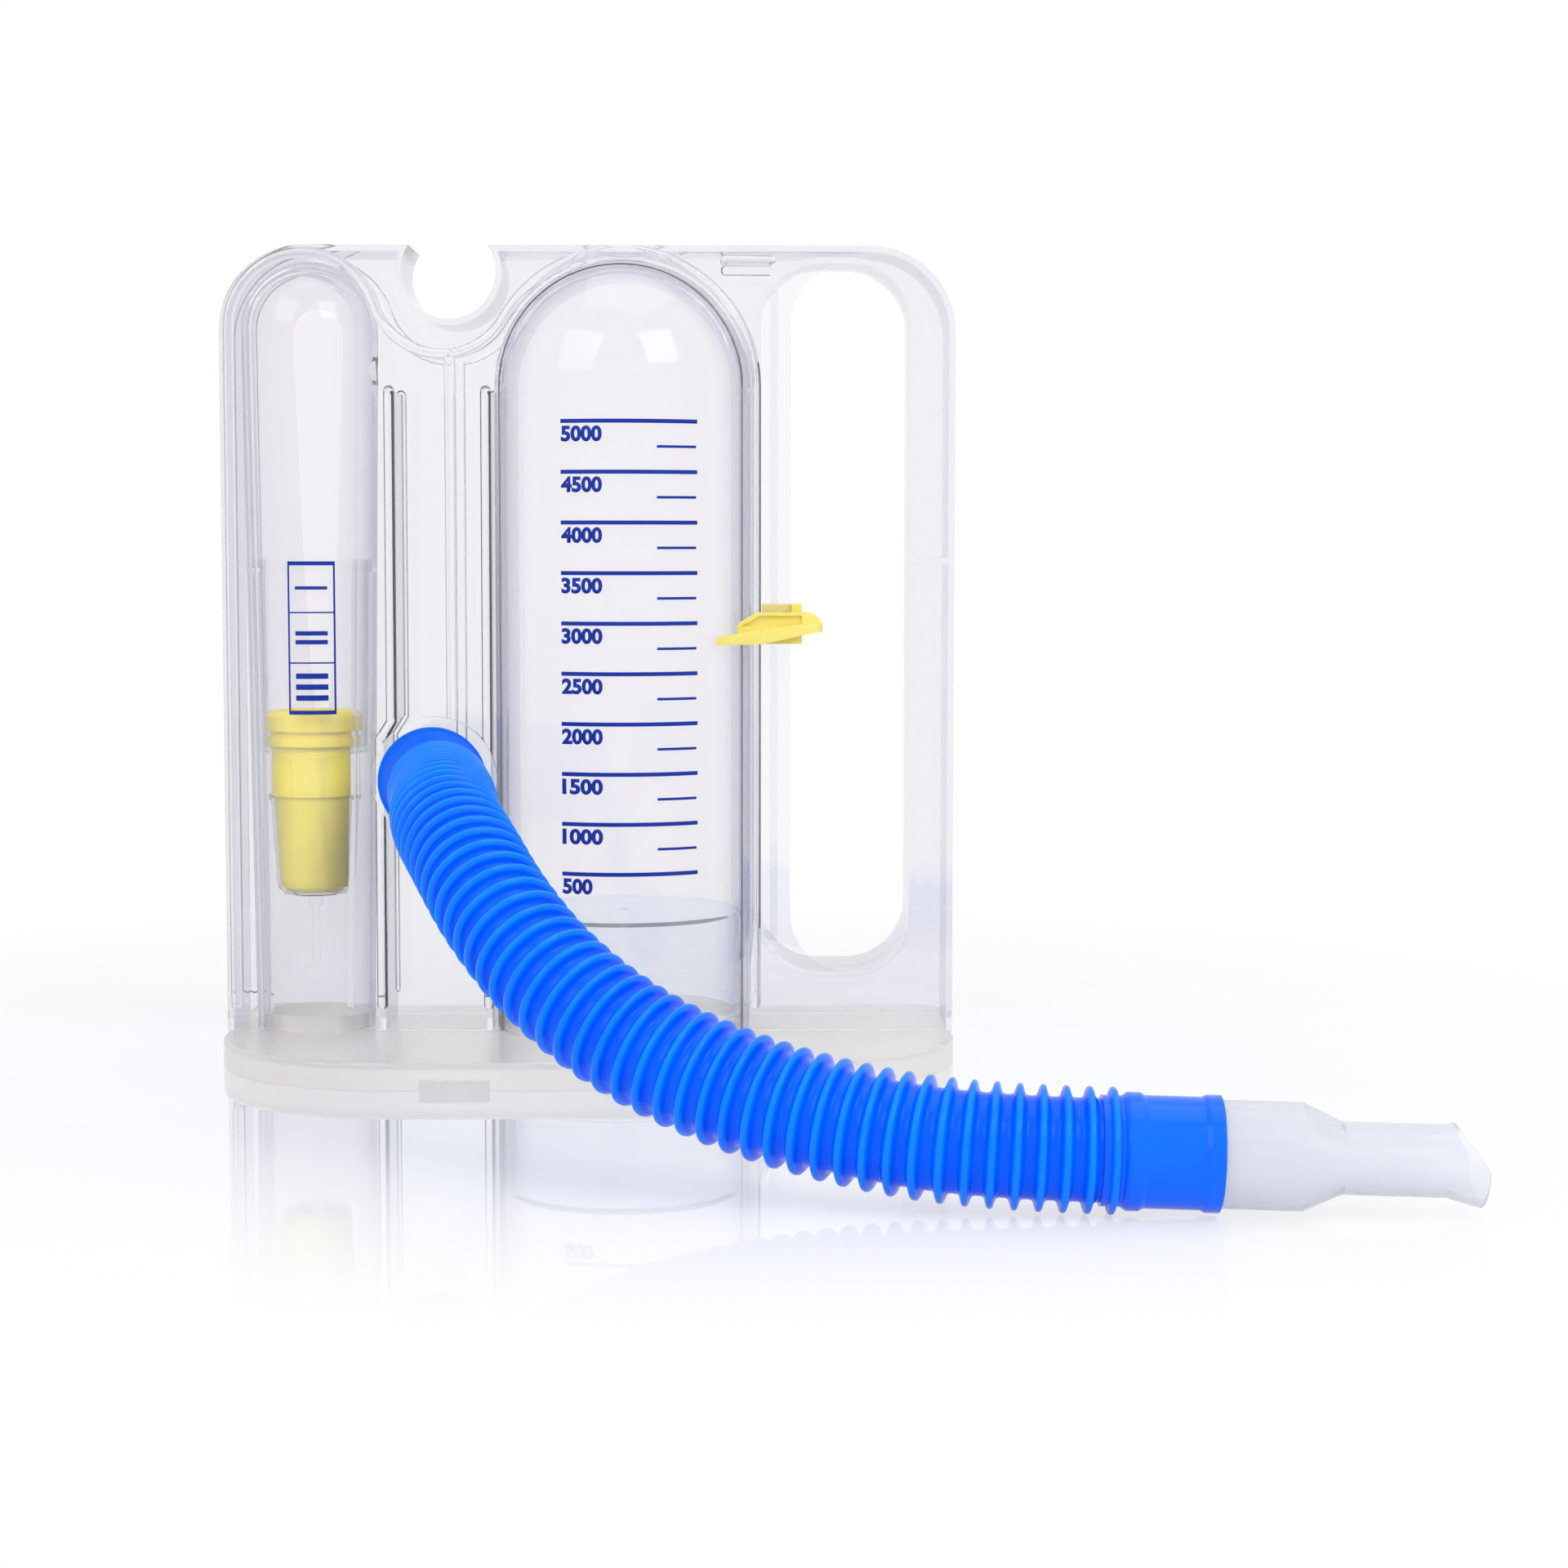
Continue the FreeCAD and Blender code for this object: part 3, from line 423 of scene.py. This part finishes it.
class SPIROMETER_OT_camera(bpy.types.Operator):
    """Adds the camera where the photograph was taken from"""

    bl_idname = "spirometer.camera"
    bl_label = "Add the camera"

    def execute(self, context):
        pitch, yaw, roll = (math.radians(v) for v in (CAMERA_PITCH, CAMERA_YAW, CAMERA_ROLL))
        ahead = Vector(
            (math.sin(yaw) * math.cos(pitch), math.cos(yaw) * math.cos(pitch), -math.sin(pitch))
        )
        level = Vector((math.cos(yaw), -math.sin(yaw), 0))
        right = level * math.cos(roll) + level.cross(ahead) * math.sin(roll)
        up = right.cross(ahead)
        deselect()
        bpy.ops.object.camera_add()
        camera = context.object
        camera.name = "camera"
        turn = Matrix((right, up, -ahead)).transposed().to_4x4()
        camera.matrix_world = Matrix.Translation(CAMERA_PLACE) @ turn
        camera.data.sensor_width = CAMERA_SENSOR
        camera.data.lens = CAMERA_LENS
        camera.data.clip_start = 0.01
        camera.data.clip_end = 100
        context.scene.camera = camera
        return {"FINISHED"}


# The hose


def route_curve():
    """The hose's route as a smooth curve."""
    data = bpy.data.curves.new("hose_route", "CURVE")
    data.dimensions = "3D"
    spline = data.splines.new("NURBS")
    spline.points.add(len(HOSE_ROUTE) - 1)
    for point, place in zip(spline.points, HOSE_ROUTE):
        point.co = (*place, 1)
    spline.order_u = 3
    spline.use_endpoint_u = True
    data.resolution_u = 24
    route = bpy.data.objects.new("hose_route", data)
    bpy.context.scene.collection.objects.link(route)
    bpy.context.view_layer.update()
    return route


def rib_profile(rib_share):
    """One pitch of the hose's outline, a narrow round rib between two halves of a wide valley,
    as pairs of the share of the pitch and the share of the rib's height. Half the height is left
    at the edges of the rib's share."""
    offsets = [-v for v in RIB_STATIONS[:0:-1]] + list(RIB_STATIONS)
    rib = [(0.5 + off, 0.5 ** ((2 * abs(off) / rib_share) ** RIB_STEEPNESS)) for off in offsets]
    return rib + [(1.0, 0.0)]


def one_pitch(sizes, pitch):
    """One rib with its valley as an open tube along X, drawn out of a circle."""
    bpy.ops.mesh.primitive_circle_add(
        vertices=HOSE_SIDES, radius=sizes.valley_radius, rotation=(0, math.radians(90), 0)
    )
    tube = bpy.context.object
    settle(tube)
    bpy.ops.object.mode_set(mode="EDIT")
    bpy.ops.mesh.select_all(action="SELECT")
    here = sizes.valley_radius
    depth = sizes.rib_radius - sizes.valley_radius
    along = 0.0
    for share, height in rib_profile(sizes.rib_share):
        radius = sizes.valley_radius + depth * height
        bpy.ops.mesh.extrude_region_move(
            TRANSFORM_OT_translate={"value": ((share - along) * pitch, 0, 0)}
        )
        bpy.ops.transform.resize(
            value=(1, radius / here, radius / here), center_override=(share * pitch, 0, 0)
        )
        here = radius
        along = share
    bpy.ops.mesh.select_all(action="SELECT")
    bpy.ops.mesh.normals_make_consistent(inside=False)
    bpy.ops.object.mode_set(mode="OBJECT")
    wear(tube, FINISHES["hose"])
    # The faces high on the ribs' crowns wear the paler blue: painted light on the crowns
    tube.data.materials.append(FINISHES["rib"])
    for face in tube.data.polygons:
        if math.hypot(face.center.y, face.center.z) > sizes.valley_radius + 0.5 * depth:
            face.material_index = 1
    return tube


class SPIROMETER_OT_hose(bpy.types.Operator):
    """Models one rib of the corrugated hose, repeats it and bends it along the route"""

    bl_idname = "spirometer.hose"
    bl_label = "Make the hose"

    def execute(self, context):
        sizes = context.scene.spirometer_hose
        route = route_curve()
        path = centreline(route)
        length = sum((b - a).length for a, b in zip(path, path[1:]))
        ribs = round(length / sizes.rib_pitch)
        pitch = length / ribs

        deselect()
        hose = one_pitch(sizes, pitch)
        # One rib more than the route is long, because the last is moulded on the mouth cuff.
        # It is cut off behind its foot, clear of the mouthpiece inside.
        apply_modifier(
            hose, "ARRAY", "ribs", count=ribs + 1, use_relative_offset=False,
            use_constant_offset=True, constant_offset_displace=(pitch, 0, 0),
            use_merge_vertices=True, merge_threshold=0.01 * MM,
        )
        bpy.ops.object.mode_set(mode="EDIT")
        bpy.ops.mesh.select_all(action="SELECT")
        bpy.ops.mesh.bisect(
            plane_co=(length + LAST_RIB_END * pitch, 0, 0), plane_no=(1, 0, 0), clear_outer=True
        )
        bpy.ops.object.mode_set(mode="OBJECT")
        apply_modifier(hose, "SOLIDIFY", "wall", thickness=sizes.wall, offset=-1)
        apply_modifier(hose, "CURVE", "bend", object=route, deform_axis="POS_X")
        only(hose)
        bpy.ops.object.shade_smooth()
        hose.name = "hose"
        bpy.data.objects.remove(route)
        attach(hose, "housing")
        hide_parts("hose_tube")
        return {"FINISHED"}


# The print


def bar(left, right, height, thick):
    """A flat level mark, upright in front of the housing and facing forwards."""
    deselect()
    bpy.ops.mesh.primitive_grid_add(
        x_subdivisions=max(1, round((right - left) / PRINT_STRETCH_ACROSS)), y_subdivisions=1,
        size=1, location=((left + right) / 2, PRINT_START, height), rotation=(math.radians(90), 0, 0),
    )
    mark = bpy.context.object
    mark.scale = (right - left, thick, 1)
    settle(mark)
    return mark


def upright_bar(x, low, high, thick):
    """The same, from a lower to a higher end."""
    deselect()
    bpy.ops.mesh.primitive_grid_add(
        x_subdivisions=1, y_subdivisions=max(1, round((high - low) / PRINT_STRETCH_UP)),
        size=1, location=(x, PRINT_START, (low + high) / 2), rotation=(math.radians(90), 0, 0),
    )
    mark = bpy.context.object
    mark.scale = (thick, high - low, 1)
    settle(mark)
    return mark


def numeral(text, left, foot, width, height):
    """A printed number, fitted to its width and height."""
    deselect()
    bpy.ops.object.text_add(location=(0, 0, 0), rotation=(math.radians(90), 0, 0))
    sign = bpy.context.object
    sign.data.body = text
    sign.data.size = height
    sign.data.offset = NUMERAL_BOLDNESS * height
    sign.data.resolution_u = 4
    bpy.ops.object.convert(target="MESH")
    settle(sign)
    low = [min(v.co[i] for v in sign.data.vertices) for i in range(3)]
    high = [max(v.co[i] for v in sign.data.vertices) for i in range(3)]
    sign.location = (-low[0], 0, -low[2])
    settle(sign)
    sign.scale = (width / (high[0] - low[0]), 1, height / (high[2] - low[2]))
    settle(sign)
    sign.location = (left, PRINT_START, foot)
    settle(sign)
    return sign


def print_on_front(marks, name):
    """Joins flat marks and prints them on the front of the housing, as a skin of ink."""
    ink = join(marks, name)
    apply_modifier(
        ink, "SHRINKWRAP", "print", target=NODES["front_shell"], wrap_method="PROJECT",
        use_project_y=True, use_positive_direction=True, use_negative_direction=False,
        offset=INK_LIFT, wrap_mode="ABOVE_SURFACE",
    )
    apply_modifier(ink, "SOLIDIFY", "ink", thickness=INK_THICKNESS, offset=0)
    wear(ink, FINISHES["ink"])
    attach(ink, "housing")


class SPIROMETER_OT_scale(bpy.types.Operator):
    """Prints the volume scale on the front of the volume column"""

    bl_idname = "spirometer.scale"
    bl_label = "Print the volume scale"

    def execute(self, context):
        sizes = context.scene.spirometer_print
        line_left, line_right, line_thick = -6.5 * MM, 30.0 * MM, 1.1 * MM
        half_left, half_right, half_thick = 19.3 * MM, 29.7 * MM, 0.72 * MM
        numeral_left, numeral_drop = -6.4 * MM, 1.2 * MM
        width_of_three, width_of_four = 8.2 * MM, 11.1 * MM
        readings = 10
        reading_step = 500
        marks = []
        for index in range(readings):
            height = sizes.lowest + index * sizes.step
            marks.append(bar(line_left, line_right, height, line_thick))
            if index:
                marks.append(bar(half_left, half_right, height - sizes.step / 2, half_thick))
            text = str(reading_step * (index + 1))
            width = width_of_three if len(text) == 3 else width_of_four
            foot = height - numeral_drop - sizes.numeral_height
            marks.append(numeral(text, numeral_left, foot, width, sizes.numeral_height))
        print_on_front(marks, "scale_print")
        return {"FINISHED"}


class SPIROMETER_OT_rate_box(bpy.types.Operator):
    """Prints the flow-rate box with its three fields on the front of the flow column"""

    bl_idname = "spirometer.rate_box"
    bl_label = "Print the flow-rate box"

    def execute(self, context):
        left, right = -81.9 * MM, -69.2 * MM
        top, foot = 137.0 * MM, 96.2 * MM
        upper_divider, lower_divider = 123.6 * MM, 109.8 * MM
        edge_thick, divider_thick, side_thick = 1.1 * MM, 0.4 * MM, 0.5 * MM
        field_margin = 2 * MM
        marks = [bar(left, right, height, edge_thick) for height in (top, foot)]
        marks += [bar(left, right, height, divider_thick) for height in (upper_divider, lower_divider)]
        for x in (left + side_thick / 2, right - side_thick / 2):
            marks.append(upright_bar(x, foot, top, side_thick))
        # One, two and three plain bars stand for the three fields. Each entry is the height of a
        # field's middle, its number of bars and their thickness, in millimetres.
        for field, count, thick in ((130.3, 1, 0.9), (116.7, 2, 1.2), (103.2, 3, 1.5)):
            for line in range(count):
                height = field + (line - (count - 1) / 2) * 2 * thick
                marks.append(bar(left + field_margin, right - field_margin, height * MM, thick * MM))
        print_on_front(marks, "rate_box_print")
        return {"FINISHED"}


# The moulded parts


def on_column(centre, normal):
    """Whether a face belongs to a column's wall or dome: it looks straight from or to its axis,
    or lies where the volume dome runs into the top rim."""
    volume_x = COLUMNS[1][0]
    if abs(centre.x - volume_x) < DOME_RIM_HALF_WIDTH and centre.z > DOME_RIM_FOOT:
        return True
    for x, dome_z, radius in COLUMNS:
        off = centre - Vector((x, COLUMN_Y, dome_z))
        off.z = max(off.z, 0)
        in_wall = radius - COLUMN_WALL_DEPTH < off.length < radius + MM
        if in_wall and abs(normal.dot(off.normalized())) > COLUMN_FACING:
            return True
    return False


class SPIROMETER_OT_finishes(bpy.types.Operator):
    """Gives the solids that stay their moulded plastics"""

    bl_idname = "spirometer.finishes"
    bl_label = "Finish the moulded parts"

    def execute(self, context):
        for node, finish in {
            "front_shell": "housing",
            "rear_shell": "housing",
            "base_tray": "stand",
            "flow_sleeve": "sleeve",
            "flow_cup": "float",
            "volume_piston": "piston",
            "volume_pointer": "pointer",
            "hose_cuff_port": "port cuff",
            "hose_cuff_mouth": "mouth cuff",
            "mouthpiece": "mouthpiece",
        }.items():
            only(NODES[node])
            bpy.ops.object.shade_smooth_by_angle(angle=math.radians(CRISP_ANGLE))
            wear(NODES[node], FINISHES[finish])
        for shell in (NODES["front_shell"], NODES["rear_shell"]):
            shell.data.materials.append(FINISHES["column"])
            for face in shell.data.polygons:
                if on_column(face.center, face.normal):
                    face.material_index = 1
        return {"FINISHED"}


# The surroundings


def seen(tree):
    """1 on the rays that bring a surface to the eye, straight, mirrored or through a clear wall,
    and 0 on those that gather the light that it gives to other surfaces."""
    path = add_node(tree, "ShaderNodeLightPath")
    rays = path.outputs["Is Camera Ray"]
    for name in ("Is Glossy Ray", "Is Transmission Ray"):
        rays = add_node(
            tree, "ShaderNodeMath", links={0: rays, 1: path.outputs[name]}, operation="MAXIMUM"
        ).outputs[0]
    return rays


def ramp(tree, source, stretch, shares):
    """Goes from the first share to the second while the source crosses the stretch."""
    values = {"From Min": stretch[0], "From Max": stretch[1], "To Min": shares[0], "To Max": shares[1]}
    return add_node(tree, "ShaderNodeMapRange", values, {"Value": source}).outputs[0]


def pale_floor():
    """White studio floor: matt, polished around the foot of the object, and white by itself
    farther away."""
    material = new_material("pale_floor")
    tree = material.node_tree
    place = add_node(tree, "ShaderNodeTexCoord").outputs["Object"]
    # The floor's own white takes over from the lamps' light away from the object
    away = add_node(tree, "ShaderNodeVectorMath", links={0: place}, operation="LENGTH")
    fade = ramp(tree, away.outputs["Value"], FLOOR_FADE, FLOOR_WHITE)
    # Its polish mirrors the foot of the object and dies away in front of it and behind it
    y = add_node(tree, "ShaderNodeSeparateXYZ", links={0: place}).outputs["Y"]
    front = ramp(tree, y, MIRROR_FRONT, (0.0, FLOOR_MIRROR))
    back = ramp(tree, y, MIRROR_BACK, (FLOOR_MIRROR, 0.0))
    mirror = add_node(tree, "ShaderNodeMath", links={0: front, 1: back}, operation="MINIMUM")
    share = add_node(tree, "ShaderNodeMath", links={0: seen(tree), 1: fade}, operation="MULTIPLY")
    matt = add_node(tree, "ShaderNodeBsdfDiffuse", {"Color": linear("#F4F4F6")})
    polish = add_node(tree, "ShaderNodeBsdfGlossy", {"Color": linear("#F8FAFF"), "Roughness": 0.015})
    sheen = add_node(
        tree,
        "ShaderNodeMixShader",
        links={"Fac": mirror.outputs[0], 1: matt.outputs["BSDF"], 2: polish.outputs["BSDF"]},
    )
    white = add_node(tree, "ShaderNodeEmission", {"Color": linear("#FFFFFF"), "Strength": 1.0})
    mixed = add_node(
        tree,
        "ShaderNodeMixShader",
        links={"Fac": share.outputs[0], 1: sheen.outputs["Shader"], 2: white.outputs["Emission"]},
    )
    return finish_material(material, mixed.outputs["Shader"])


def white_room():
    """White surroundings, fully white where they are seen and less strong as a light."""
    world = bpy.data.worlds.new("white_room")
    world.use_nodes = True
    world.node_tree.nodes.clear()
    tree = world.node_tree
    strength = add_node(
        tree, "ShaderNodeMapRange", {"To Min": ROOM_LIGHT, "To Max": 1.0}, {"Value": seen(tree)}
    )
    background = add_node(
        tree, "ShaderNodeBackground", {"Color": (1, 1, 1, 1)}, {"Strength": strength.outputs[0]}
    )
    add_node(tree, "ShaderNodeOutputWorld", links={"Surface": background.outputs[0]})
    return world


class SPIROMETER_OT_stage(bpy.types.Operator):
    """Adds the pale floor, the soft lights and the white surroundings"""

    bl_idname = "spirometer.stage"
    bl_label = "Set the stage"

    def execute(self, context):
        deselect()
        bpy.ops.mesh.primitive_plane_add(size=FLOOR_SIZE, location=FLOOR_PLACE)
        floor = context.object
        settle(floor)
        floor.name = "floor"
        wear(floor, pale_floor())
        context.scene.world = white_room()
        for name, place, power, size in LAMPS:
            deselect()
            bpy.ops.object.light_add(type="AREA", location=place)
            lamp = context.object
            lamp.name = name
            lamp.data.energy = power
            lamp.data.size = size
            lamp.rotation_mode = "QUATERNION"
            lamp.rotation_quaternion = (LAMP_AIM - lamp.location).to_track_quat("-Z", "Y")
        context.scene.cycles.max_bounces = LIGHT_BOUNCES
        context.scene.cycles.transmission_bounces = LIGHT_BOUNCES
        context.scene.cycles.transparent_max_bounces = LIGHT_BOUNCES
        context.scene.view_settings.view_transform = "Standard"
        return {"FINISHED"}


# The panel and the add-on's frame


class SPIROMETER_PT_panel(bpy.types.Panel):
    bl_label = "Incentive spirometer"
    bl_idname = "SPIROMETER_PT_panel"
    bl_space_type = "VIEW_3D"
    bl_region_type = "UI"
    bl_category = "Spirometer"

    def draw(self, context):
        layout = self.layout
        for group in (context.scene.spirometer_hose, context.scene.spirometer_print):
            box = layout.box()
            for name in group.__annotations__:
                box.prop(group, name)
        for operator in OPERATORS:
            layout.operator(operator.bl_idname)


OPERATORS = (
    SPIROMETER_OT_camera,
    SPIROMETER_OT_hose,
    SPIROMETER_OT_scale,
    SPIROMETER_OT_rate_box,
    SPIROMETER_OT_finishes,
    SPIROMETER_OT_stage,
)
CLASSES = (HoseSizes, PrintSizes, *OPERATORS, SPIROMETER_PT_panel)


def register():
    for each in CLASSES:
        bpy.utils.register_class(each)
    bpy.types.Scene.spirometer_hose = bpy.props.PointerProperty(type=HoseSizes)
    bpy.types.Scene.spirometer_print = bpy.props.PointerProperty(type=PrintSizes)


def unregister():
    del bpy.types.Scene.spirometer_print
    del bpy.types.Scene.spirometer_hose
    for each in reversed(CLASSES):
        bpy.utils.unregister_class(each)


def main():
    register()
    mix_finishes()
    bpy.ops.spirometer.camera()
    bpy.ops.spirometer.hose()
    bpy.ops.spirometer.scale()
    bpy.ops.spirometer.rate_box()
    bpy.ops.spirometer.finishes()
    bpy.ops.spirometer.stage()


if __name__ == "__main__":
    main()
